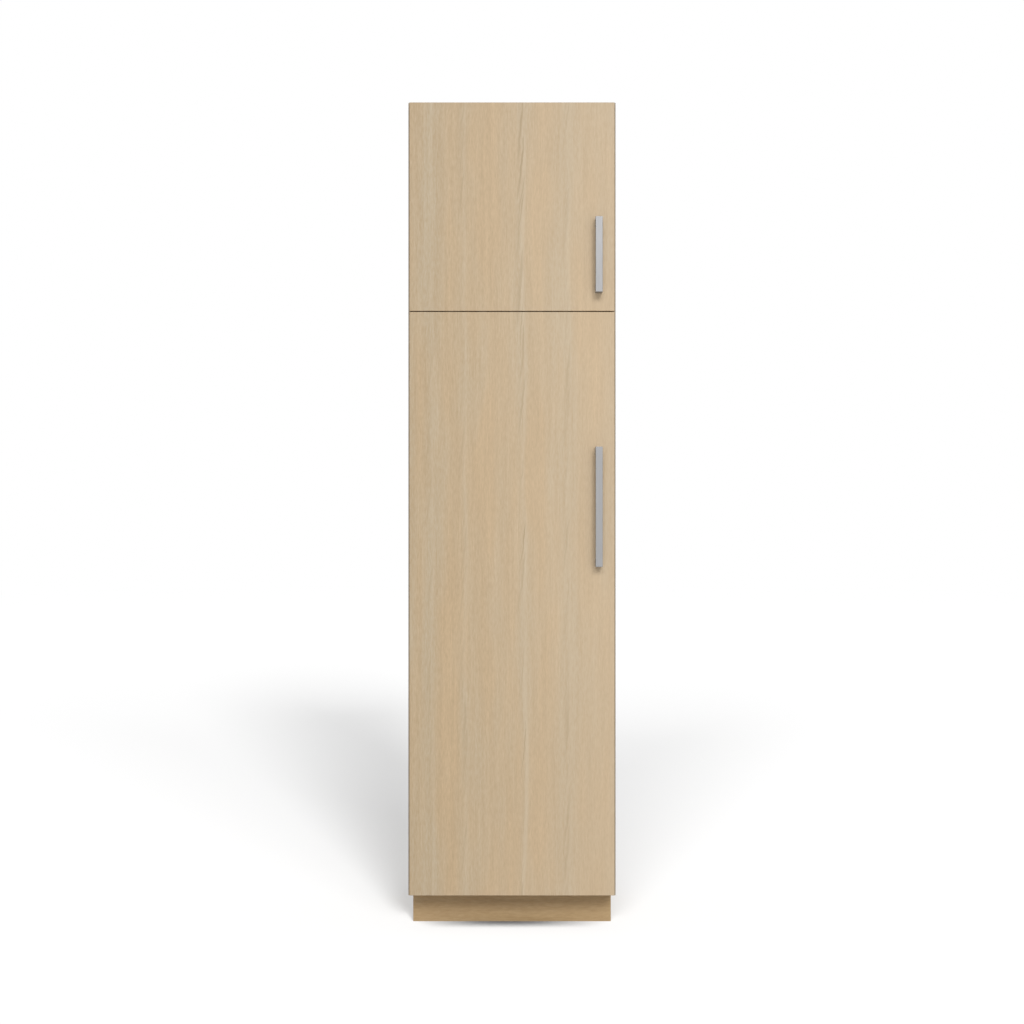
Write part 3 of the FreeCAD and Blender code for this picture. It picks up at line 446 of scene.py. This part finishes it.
def door_veneer():
    """Upright oak, matched over both doors, with painted light paling it to the right, and its bands and
    narrow figures.
    """
    material, tree, shader, place = new_material("oak_door_veneer")
    axes = grain_axes(tree, place, "X", "Y", "Z")
    along = axes["Along"]
    wander = grain_noise(tree, axes["Across"], axes["Depth"], along, VENEER_WANDER)
    wander = remap(tree, wander, *NOISE_RANGE, -WANDER_REACH, WANDER_REACH)
    swayed = maths(tree, "ADD", axes["Across"], wander)
    warmth = None
    for middle, half_width, amount in VENEER_BANDS:
        band = maths(tree, "MULTIPLY", band_mask(tree, swayed, middle, half_width), amount)
        warmth = band if warmth is None else maths(tree, "ADD", warmth, band)
    inputs = dict(axes)
    inputs.update({"Warmth": warmth, "Cool Oak": COOL_OAK, "Warm Oak": WARM_OAK, "Dark Fibre": DARK_FIBRE})
    grain = use_group(tree, OAK_GRAIN, inputs)

    # Painted light: the veneer turns paler towards the right edge of the door, as if lit more from that
    # side
    painted_light = remap(tree, axes["Across"], -DOOR_HALF_WIDTH, DOOR_HALF_WIDTH, 0.0, PAINTED_LIGHT_AT_RIGHT)
    timber = blend_colours(tree, painted_light, grain["Color"], PAINTED_LIGHT_TONE)
    for middle, strength in VENEER_FIGURES:
        away = maths(tree, "SUBTRACT", swayed, middle)
        seed = middle * FIGURE_SEED
        glint = figure_noise(tree, "glint", seed, along)
        glint = remap(tree, glint, *GLINT_RANGE, GLINT_LEAST, GLINT_MOST * strength)
        core = maths(tree, "MULTIPLY", band_mask(tree, swayed, middle + CORE_SHIFT, CORE_HALF_WIDTH), glint)
        timber = blend_colours(tree, core, timber, FIGURE_PALE)
        start = remap(tree, away, *LINES_START, 0.0, strength, smooth=True)
        end = remap(tree, away, *LINES_END, 1.0, 0.0, smooth=True)
        line = leaning_lines(tree, away, along, seed)
        line = maths(tree, "MULTIPLY", line, maths(tree, "MULTIPLY", start, end))
        timber = blend_colours(tree, line, timber, FIGURE_DARK)
    tree.links.new(timber, shader.inputs["Base Color"])
    tree.links.new(grain["Roughness"], shader.inputs["Roughness"])
    bump(tree, shader, grain["Height"], OAK_RELIEF, OAK_BUMP)
    return material


def brushed(name, light, dark):
    """Metal that is brushed along its height."""
    material, tree, shader, place = new_material(name)
    inputs = grain_axes(tree, place, "X", "Y", "Z")
    inputs.update({"Light": light, "Dark": dark})
    finish = use_group(tree, BRUSHED, inputs)
    tree.links.new(finish["Color"], shader.inputs["Base Color"])
    tree.links.new(finish["Roughness"], shader.inputs["Roughness"])
    shader.inputs["Metallic"].default_value = 1.0
    bump(tree, shader, finish["Height"], BRUSHED_RELIEF, FINE_BUMP)
    return material


def speckled(name, light, dark, fineness, rough, metallic=0.0, relief=SPECK_RELIEF):
    material, tree, shader, place = new_material(name)
    finish = use_group(tree, SPECKLE, {"Vector": place, "Fineness": fineness, "Light": light, "Dark": dark})
    tree.links.new(finish["Color"], shader.inputs["Base Color"])
    tree.links.new(remap(tree, finish["Mask"], 0.0, 1.0, *rough), shader.inputs["Roughness"])
    shader.inputs["Metallic"].default_value = metallic
    bump(tree, shader, finish["Mask"], relief, FINE_BUMP)
    return material


door_face = door_veneer()
oak_upright_side = oak("oak_side_board", "Y", "X", "Z")
oak_level = oak("oak_level_board", "Y", "Z", "X")
oak_plinth_cross = oak("oak_plinth_cross", "Z", "Y", "X", **PLINTH_OAK)
oak_plinth_length = oak("oak_plinth_length", "Z", "X", "Y", **PLINTH_OAK)
oak_rail = oak("oak_wall_rail", "Z", "Y", "X")
oak_back = oak("oak_back_board", "X", "Y", "Z", **BACK_OAK)
oak_band = oak("oak_edge_band", "X", "Y", "Z", **BAND_OAK)
oak_band_level = oak("oak_shelf_band", "Z", "Y", "X", **BAND_OAK)
# Carcass edge bands, darkened partly with painted shade of the gap beside the doors
carcass_band_and_painted_shade = oak("carcass_band_and_painted_shade", "X", "Y", "Z", **CARCASS_BAND_AND_SHADE)
beech = oak("beech", "Y", "Z", "X", **BEECH)
aluminium = brushed("satin_aluminium", colour(159, 159, 160), colour(149, 149, 150))
steel = speckled("plated_steel", colour(222, 222, 220), colour(212, 212, 212),
                 fineness=2600.0, rough=(0.3, 0.36), metallic=1.0, relief=STEEL_RELIEF)
zinc = speckled("cast_zinc", colour(150, 150, 150), colour(124, 125, 127),
                fineness=700.0, rough=(0.42, 0.58), metallic=1.0)
rubber = speckled("clear_rubber", colour(226, 226, 220), colour(212, 212, 206),
                  fineness=400.0, rough=(0.38, 0.5))

FINISHES = {
    door_face: ["upper_door_panel", "lower_door_panel"],
    oak_upright_side: ["left_side_panel", "right_side_panel"],
    oak_level: ["top_panel", "bottom_panel", "divider_panel", "upper_shelf",
                "lower_shelf_1", "lower_shelf_2", "lower_shelf_3", "lower_shelf_4"],
    oak_plinth_cross: ["plinth_front", "plinth_rear"],
    oak_rail: ["wall_rail"],
    oak_plinth_length: ["plinth_left", "plinth_right", "plinth_brace"],
    oak_back: ["back_panel"],
    oak_band: ["upper_door_edge_bands", "lower_door_edge_bands"],
    carcass_band_and_painted_shade: ["carcass_edge_bands"],
    oak_band_level: ["shelf_edge_bands"],
    beech: ["wood_dowels", "plinth_corner_blocks"],
    aluminium: ["upper_handle", "lower_handle"],
    steel: ["shelf_pins", "cam_bolts", "back_panel_screws", "plinth_screws",
            "upper_hinge_plates", "lower_hinge_plates", "upper_hinge_arms", "lower_hinge_arms",
            "hinge_plate_screws", "hinge_arm_screws", "upper_hinge_cups", "lower_hinge_cups",
            "upper_hinge_pins", "lower_hinge_pins", "upper_cup_screws", "lower_cup_screws",
            "upper_handle_screws", "lower_handle_screws"],
    zinc: ["cam_locks"],
    rubber: ["upper_door_bumpers", "lower_door_bumpers"],
}
for material, names in FINISHES.items():
    for name in names:
        for place in nodes[name].material_slots:
            place.material = material


# Modelling tools
def make_active(item):
    bpy.ops.object.select_all(action="DESELECT")
    item.select_set(True)
    bpy.context.view_layer.objects.active = item


def start_edit(item):
    """Open an item in edit mode, with its whole mesh selected."""
    make_active(item)
    bpy.ops.object.mode_set(mode="EDIT")
    bpy.ops.mesh.select_all(action="SELECT")


def end_edit():
    bpy.ops.object.mode_set(mode="OBJECT")


def pick_edges(mesh, test):
    """Select the edges whose two ends both pass the test, and nothing else."""
    bpy.ops.mesh.select_mode(type="EDGE")
    bpy.ops.mesh.select_all(action="DESELECT")
    bpy.ops.object.mode_set(mode="OBJECT")
    for edge in mesh.edges:
        edge.select = all(test(mesh.vertices[end].co) for end in edge.vertices)
    bpy.ops.object.mode_set(mode="EDIT")


def pick_faces(mesh, test):
    """Select the faces whose middle and normal pass the test, and nothing else."""
    bpy.ops.mesh.select_mode(type="FACE")
    bpy.ops.mesh.select_all(action="DESELECT")
    bpy.ops.object.mode_set(mode="OBJECT")
    for face in mesh.polygons:
        face.select = test(face.center, face.normal)
    bpy.ops.object.mode_set(mode="EDIT")


def near(one, other):
    return abs(one - other) < TOUCHING


def add_block(low, high):
    bpy.ops.object.select_all(action="DESELECT")
    middle = [(start + end) / 2 for start, end in zip(low, high)]
    bpy.ops.mesh.primitive_cube_add(size=1, location=middle)
    block = bpy.context.object
    block.scale = [end - start for start, end in zip(low, high)]
    bpy.ops.object.transform_apply(location=True, rotation=True, scale=True)
    return block


def add_rod(middle, radius, length, along):
    turn = (QUARTER_TURN, 0, 0) if along == "Y" else (0, 0, 0)
    bpy.ops.object.select_all(action="DESELECT")
    bpy.ops.mesh.primitive_cylinder_add(
        vertices=ROD_SIDES, radius=radius, depth=length, location=middle, rotation=turn)
    rod = bpy.context.object
    bpy.ops.object.transform_apply(location=True, rotation=True, scale=True)
    return rod


def split(item, place, direction, **options):
    """Cut new edges where a plane passes through the whole item."""
    start_edit(item)
    bpy.ops.mesh.bisect(plane_co=place, plane_no=direction, **options)
    end_edit()


def draw_out(item, test, move):
    """Extrude the faces that pass the test."""
    start_edit(item)
    pick_faces(item.data, test)
    bpy.ops.mesh.extrude_region_move(TRANSFORM_OT_translate={"value": move})
    end_edit()


def round_edges(item, radius, steps, test):
    """Round the edges whose ends pass the test."""
    start_edit(item)
    pick_edges(item.data, test)
    bpy.ops.mesh.bevel(offset=radius, segments=steps, affect="EDGES")
    end_edit()


def round_corners(item, radius, steps, heights, axis, places):
    """Round each corner edge that lies at one of the heights and at one of the places on an axis."""
    for height in heights:
        for place in places:
            round_edges(item, radius, steps, lambda point: (
                near(point.z, height) and near(point[AXES[axis]], place)))


def combine(item, tool, operation):
    """Join a tool to an item, or cut it out of the item."""
    change = item.modifiers.new(operation, "BOOLEAN")
    change.operation = operation
    change.solver = "EXACT"
    change.object = tool
    make_active(item)
    bpy.ops.object.modifier_apply(modifier=operation)
    bpy.data.objects.remove(tool)


def clear_slivers(item):
    """Merge points that nearly meet, and dissolve edges that cross a flat face."""
    start_edit(item)
    bpy.ops.mesh.remove_doubles(threshold=SLIVER)
    bpy.ops.mesh.dissolve_limited(angle_limit=FLAT_ANGLE)
    end_edit()


def soften(item, width):
    """Round every sharp edge a little, as a press leaves it."""
    clear_slivers(item)
    rounding = item.modifiers.new("soft_edges", "BEVEL")
    rounding.use_clamp_overlap = False
    rounding.width = width
    rounding.segments = PRESSED_ROUND_STEPS
    rounding.limit_method = "ANGLE"
    rounding.angle_limit = SHARP_ANGLE
    make_active(item)
    bpy.ops.object.modifier_apply(modifier="soft_edges")
    start_edit(item)
    bpy.ops.mesh.delete_loose(use_faces=True)
    end_edit()


def smooth_over(item):
    """Face the mesh outwards, with smooth rounds and flat faces."""
    start_edit(item)
    bpy.ops.mesh.normals_make_consistent(inside=False)
    end_edit()
    bpy.ops.object.shade_smooth_by_angle(angle=SMOOTH_ANGLE)
    item.modifiers.new("flat_faces", "WEIGHTED_NORMAL").keep_sharp = True
    bpy.ops.object.modifier_apply(modifier="flat_faces")


def fit(piece, name, material, node_name, body):
    """Name a finished piece, and let it stand for a node and move with a body."""
    piece.name = name
    piece.data.materials.clear()
    piece.data.materials.append(material)
    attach(piece, body)
    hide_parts(node_name)


# Handles: a flat bar with a foot drawn out at each end
def bar_handle(node_name, body):
    low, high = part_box(node_name)
    bar_back = low.y + HANDLE_BAR_THICKNESS
    handle = add_block(low, (high.x, bar_back, high.z))
    foot_ends = (low.z + HANDLE_FOOT_LENGTH, high.z - HANDLE_FOOT_LENGTH)
    for level in foot_ends:
        split(handle, (0, 0, level), (0, 0, 1))
    draw_out(handle, lambda centre, normal: (
        normal.y > FACING and not foot_ends[0] < centre.z < foot_ends[1]), (0, high.y - bar_back, 0))
    round_edges(handle, HANDLE_INNER_ROUND, BROAD_ROUND_STEPS, lambda point: (
        near(point.y, bar_back) and any(near(point.z, end) for end in foot_ends)))
    round_edges(handle, HANDLE_EDGE_ROUND, EDGE_ROUND_STEPS, lambda point: near(point.y, low.y))
    smooth_over(handle)
    fit(handle, f"{node_name}_bar", aluminium, node_name, body)


bar_handle("upper_handle", "upper_door")
bar_handle("lower_handle", "lower_door")


# Hinges: pressed cups, bent arms and winged plates, each modelled at floor level and copied to its heights
def hinge_cup(low, high):
    """A hollow cup under a round rim with two wings, slotted for the arm."""
    x = (low.x + high.x) / 2
    top = high.y
    back = top - CUP_FLANGE["thickness"]
    rim_middle = (back + top) / 2
    radius = (high.x - low.x) / 2
    cup = add_rod((x, rim_middle, 0), CUP_RIM_RADIUS, top - back, "Y")
    barrel = add_rod((x, (low.y + rim_middle) / 2, 0), radius, rim_middle - low.y, "Y")
    end = CUP_FLANGE["half_length"]
    sides = (x + CUP_FLANGE["near"], x + CUP_FLANGE["far"])
    wings = add_block((sides[0], back, -end), (sides[1], top, end))
    round_corners(wings, CUP_FLANGE["corner"], BROAD_ROUND_STEPS, (-end, end), "X", sides)
    floor_level = low.y + CUP_FLOOR
    cut_end = top + CUT_PAST
    hollow = add_rod((x, (floor_level + cut_end) / 2, 0), radius - CUP_WALL, cut_end - floor_level, "Y")
    split(hollow, (x + CUP_HOLLOW_START, 0, 0), (1, 0, 0), use_fill=True, clear_inner=True)
    slot = add_block(
        (x + CUP_SLOT["start"], low.y + CUP_SLOT["floor"], -CUP_SLOT["half_width"]),
        (x + CUP_SLOT["end"], cut_end, CUP_SLOT["half_width"]))
    combine(cup, barrel, "UNION")
    combine(cup, wings, "UNION")
    combine(cup, hollow, "DIFFERENCE")
    combine(cup, slot, "DIFFERENCE")
    soften(cup, CUP_EDGE_ROUND)
    return cup


def hinge_arm(low, high):
    """A strip bent to its knuckle, wider at its tail, with a pressed recess."""
    inner = high.x - ARM_THICKNESS
    knuckle_x = low.x + ARM_KNUCKLE_RADIUS
    knuckle_y = low.y + ARM_KNUCKLE_RADIUS
    leg_front = knuckle_y - ARM_THICKNESS / 2
    leg_back = knuckle_y + ARM_THICKNESS / 2
    tail_start = high.y - ARM_TAIL_LENGTH
    arm = add_block((inner, leg_front, -ARM_HALF_WIDTH), (high.x, high.y, ARM_HALF_WIDTH))
    split(arm, (0, leg_back, 0), (0, 1, 0))
    draw_out(arm, lambda centre, normal: normal.x < -FACING and centre.y < leg_back,
             (knuckle_x + ARM_LEG_REACH - inner, 0, 0))
    round_edges(arm, ARM_BEND_ROUND, SMALL_ROUND_STEPS, lambda point: (
        near(point.x, inner) and near(point.y, leg_back)))
    round_edges(arm, ARM_BEND_ROUND + ARM_THICKNESS, BROAD_ROUND_STEPS, lambda point: (
        near(point.x, high.x) and near(point.y, leg_front)))
    split(arm, (0, tail_start, 0), (0, 1, 0))
    for side in (-1, 1):
        draw_out(arm, lambda centre, normal: normal.z * side > FACING and centre.y > tail_start,
                 (0, 0, side * (ARM_TAIL_HALF_WIDTH - ARM_HALF_WIDTH)))
        round_corners(arm, ARM_CORNER_ROUND, SMALL_ROUND_STEPS,
                      (side * ARM_TAIL_HALF_WIDTH,), "Y", (tail_start, high.y))
    knuckle = add_rod((knuckle_x, knuckle_y, 0), ARM_KNUCKLE_RADIUS, ARM_HALF_WIDTH * 2, "Z")
    bore = add_rod((knuckle_x, knuckle_y, 0), ARM_BORE_RADIUS, ARM_BORE_LENGTH, "Z")
    half = ARM_RECESS["half_width"]
    recess_ends = (tail_start + ARM_RECESS["start"], tail_start + ARM_RECESS["end"])
    recess = add_block((high.x - ARM_RECESS["depth"], recess_ends[0], -half),
                       (high.x + CUT_PAST, recess_ends[1], half))
    round_corners(recess, ARM_RECESS["corner"], SMALL_ROUND_STEPS, (-half, half), "Y", recess_ends)
    combine(arm, knuckle, "UNION")
    soften(arm, ARM_EDGE_ROUND)
    combine(arm, bore, "DIFFERENCE")
    combine(arm, recess, "DIFFERENCE")
    return arm


def hinge_plate(low, high):
    """Two rounded wings across a raised rail."""
    screw_low, screw_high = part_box("hinge_plate_screws")
    middle = (screw_low.y + screw_high.y) / 2
    half = PLATE_WING["half_width"]
    wing_ends = (-PLATE_HALF_LENGTH, PLATE_HALF_LENGTH)
    wing_sides = (middle - half, middle + half)
    plate = add_block((low.x, wing_sides[0], wing_ends[0]),
                      (low.x + PLATE_WING["thickness"], wing_sides[1], wing_ends[1]))
    rail_sides = (-PLATE_RAIL_HALF_WIDTH, PLATE_RAIL_HALF_WIDTH)
    rail = add_block((low.x, low.y, rail_sides[0]), (high.x, high.y, rail_sides[1]))
    round_corners(plate, PLATE_WING["corner"], BROAD_ROUND_STEPS, wing_ends, "Y", wing_sides)
    round_corners(rail, PLATE_RAIL_CORNER, SMALL_ROUND_STEPS, rail_sides, "Y", (low.y, high.y))
    combine(plate, rail, "UNION")
    soften(plate, PLATE_EDGE_ROUND)
    return plate


def hinge_set(node_name, count, model, half_height, body):
    """Model a hinge piece once, copy it to every hinge of a door, and join the copies."""
    low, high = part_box(node_name)
    first = model(low, high)
    smooth_over(first)
    step = (high.z - low.z - half_height * 2) / (count - 1)
    copies = [first]
    while len(copies) < count:
        copy = bpy.data.objects.new(node_name, first.data.copy())
        bpy.context.scene.collection.objects.link(copy)
        copies.append(copy)
    bpy.ops.object.select_all(action="DESELECT")
    for number, piece in enumerate(copies):
        piece.location.z = low.z + half_height + step * number
        piece.select_set(True)
    bpy.ops.object.transform_apply(location=True, rotation=True, scale=True)
    bpy.context.view_layer.objects.active = first
    bpy.ops.object.join()
    fit(first, f"{node_name}_pressed", steel, node_name, body)


for door, count in HINGES.items():
    hinge_set(f"{door}_hinge_cups", count, hinge_cup, CUP_FLANGE["half_length"], f"{door}_door")
    hinge_set(f"{door}_hinge_arms", count, hinge_arm, ARM_TAIL_HALF_WIDTH, "carcass")
    hinge_set(f"{door}_hinge_plates", count, hinge_plate, PLATE_HALF_LENGTH, "carcass")


# Floor and air: white where they are seen, softer as a light
def seen_directly(tree):
    """One for rays from the camera, and for those that mirrors and glass send on."""
    rays = add_node(tree, "ShaderNodeLightPath").outputs
    shiny = maths(tree, "MAXIMUM", rays["Is Glossy Ray"], rays["Is Transmission Ray"])
    return maths(tree, "MAXIMUM", rays["Is Camera Ray"], shiny)


def studio_paper():
    """White paper that keeps the shadow, darkens under the plinth, and fades to plain white far away."""
    paper = bpy.data.materials.new("studio_paper")
    paper.use_nodes = True
    tree = paper.node_tree
    tree.nodes.remove(tree.nodes["Principled BSDF"])
    direct = seen_directly(tree)
    tone = remap(tree, direct, 0.0, 1.0, FLOOR_BOUNCE, FLOOR_SEEN)
    contact = add_node(tree, "ShaderNodeAmbientOcclusion", {"Distance": CONTACT_REACH},
                       samples=CONTACT_SAMPLES)
    spot = add_node(tree, "ShaderNodeTexCoord").outputs["Object"]
    across = add_node(tree, "ShaderNodeSeparateXYZ", {0: spot}).outputs["X"]
    aside = maths(tree, "ABSOLUTE", maths(tree, "SUBTRACT", across, CONTACT_MIDDLE))
    under = maths(tree, "MULTIPLY", remap(tree, contact.outputs["AO"], *CONTACT_DARK),
                  remap(tree, aside, *CONTACT_SPREAD, smooth=True))
    open_share = maths(tree, "SUBTRACT", 1.0, under)
    matte = add_node(tree, "ShaderNodeBsdfDiffuse", {"Color": maths(tree, "MULTIPLY", tone, open_share)})
    lift = maths(tree, "MULTIPLY", open_share, FLOOR_GLOW)
    glow = add_node(tree, "ShaderNodeEmission", {"Strength": maths(tree, "MULTIPLY", direct, lift)})
    lit = add_node(tree, "ShaderNodeAddShader", {0: matte.outputs[0], 1: glow.outputs[0]})
    white = add_node(tree, "ShaderNodeEmission", {"Strength": 1.0})
    reach = add_node(tree, "ShaderNodeVectorMath", {0: spot}, operation="LENGTH").outputs["Value"]
    far_away = maths(tree, "MULTIPLY", remap(tree, reach, *FLOOR_FADE, 0.0, 1.0, smooth=True), direct)
    mixed = add_node(tree, "ShaderNodeMixShader", {0: far_away, 1: lit.outputs[0], 2: white.outputs[0]})
    tree.links.new(mixed.outputs[0], tree.nodes["Material Output"].inputs["Surface"])
    return paper


bpy.ops.object.select_all(action="DESELECT")
bpy.ops.mesh.primitive_plane_add(size=FLOOR_SIZE)
floor = bpy.context.object
floor.name = "studio_floor"
floor.data.materials.append(studio_paper())

world = bpy.data.worlds.new("studio_air")
bpy.context.scene.world = world
world.use_nodes = True
air = world.node_tree
backdrop = air.nodes["Background"]
backdrop.inputs["Color"].default_value = (1.0, 1.0, 1.0, 1.0)
air.links.new(remap(air, seen_directly(air), 0.0, 1.0, AMBIENT, 1.0), backdrop.inputs["Strength"])

# Lamps: one set lights the cabinet, and a stronger set lights the floor, so that its shadow is deep
floor_alone = bpy.data.collections.new("floor_alone")
floor_alone.objects.link(floor)
all_but_floor = bpy.data.collections.new("all_but_floor")
all_but_floor.objects.link(floor)
all_but_floor.collection_objects[0].light_linking.link_state = "EXCLUDE"


def place_lamp(lamp, azimuth, elevation, receivers, location=(0, 0, 0)):
    """Turn a lamp to shine from an azimuth, to the right of the front, and an elevation, in degrees."""
    item = bpy.data.objects.new(lamp.name, lamp)
    item.location = location
    item.rotation_euler = (QUARTER_TURN - math.radians(elevation), 0, math.radians(azimuth))
    item.light_linking.receiver_collection = receivers
    bpy.context.scene.collection.objects.link(item)
    return item


def sun(name, azimuth, elevation, level, softness, receivers):
    """A broad light whose level is how bright white paper gets that faces it."""
    lamp = bpy.data.lights.new(name, "SUN")
    lamp.energy = level * math.pi
    lamp.angle = math.radians(softness)
    place_lamp(lamp, azimuth, elevation, receivers)


for name, values in CABINET_SUNS.items():
    sun(name, *values, all_but_floor)
for name, values in FLOOR_SUNS.items():
    sun(name, *values, floor_alone)

softbox = bpy.data.lights.new("softbox", "AREA")
softbox.shape = "RECTANGLE"
softbox.size = SOFTBOX["width"]
softbox.size_y = SOFTBOX["height"]
softbox.energy = SOFTBOX["power"]
softbox_item = place_lamp(
    softbox, SOFTBOX["azimuth"], SOFTBOX["elevation"], all_but_floor, SOFTBOX["place"])
softbox_item.visible_camera = False
softbox_item.visible_glossy = False

# Camera
camera = bpy.data.cameras.new("front_camera")
camera.lens = CAMERA_LENS
camera.sensor_width = CAMERA_SENSOR
camera_item = bpy.data.objects.new("front_camera", camera)
door_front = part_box("lower_door_panel")[0].y
camera_item.location = (0, door_front - CAMERA_DISTANCE, CAMERA_HEIGHT)
camera_item.rotation_euler = (QUARTER_TURN, 0, 0)
bpy.context.scene.collection.objects.link(camera_item)
bpy.context.scene.camera = camera_item
bpy.context.scene.view_settings.view_transform = "Standard"
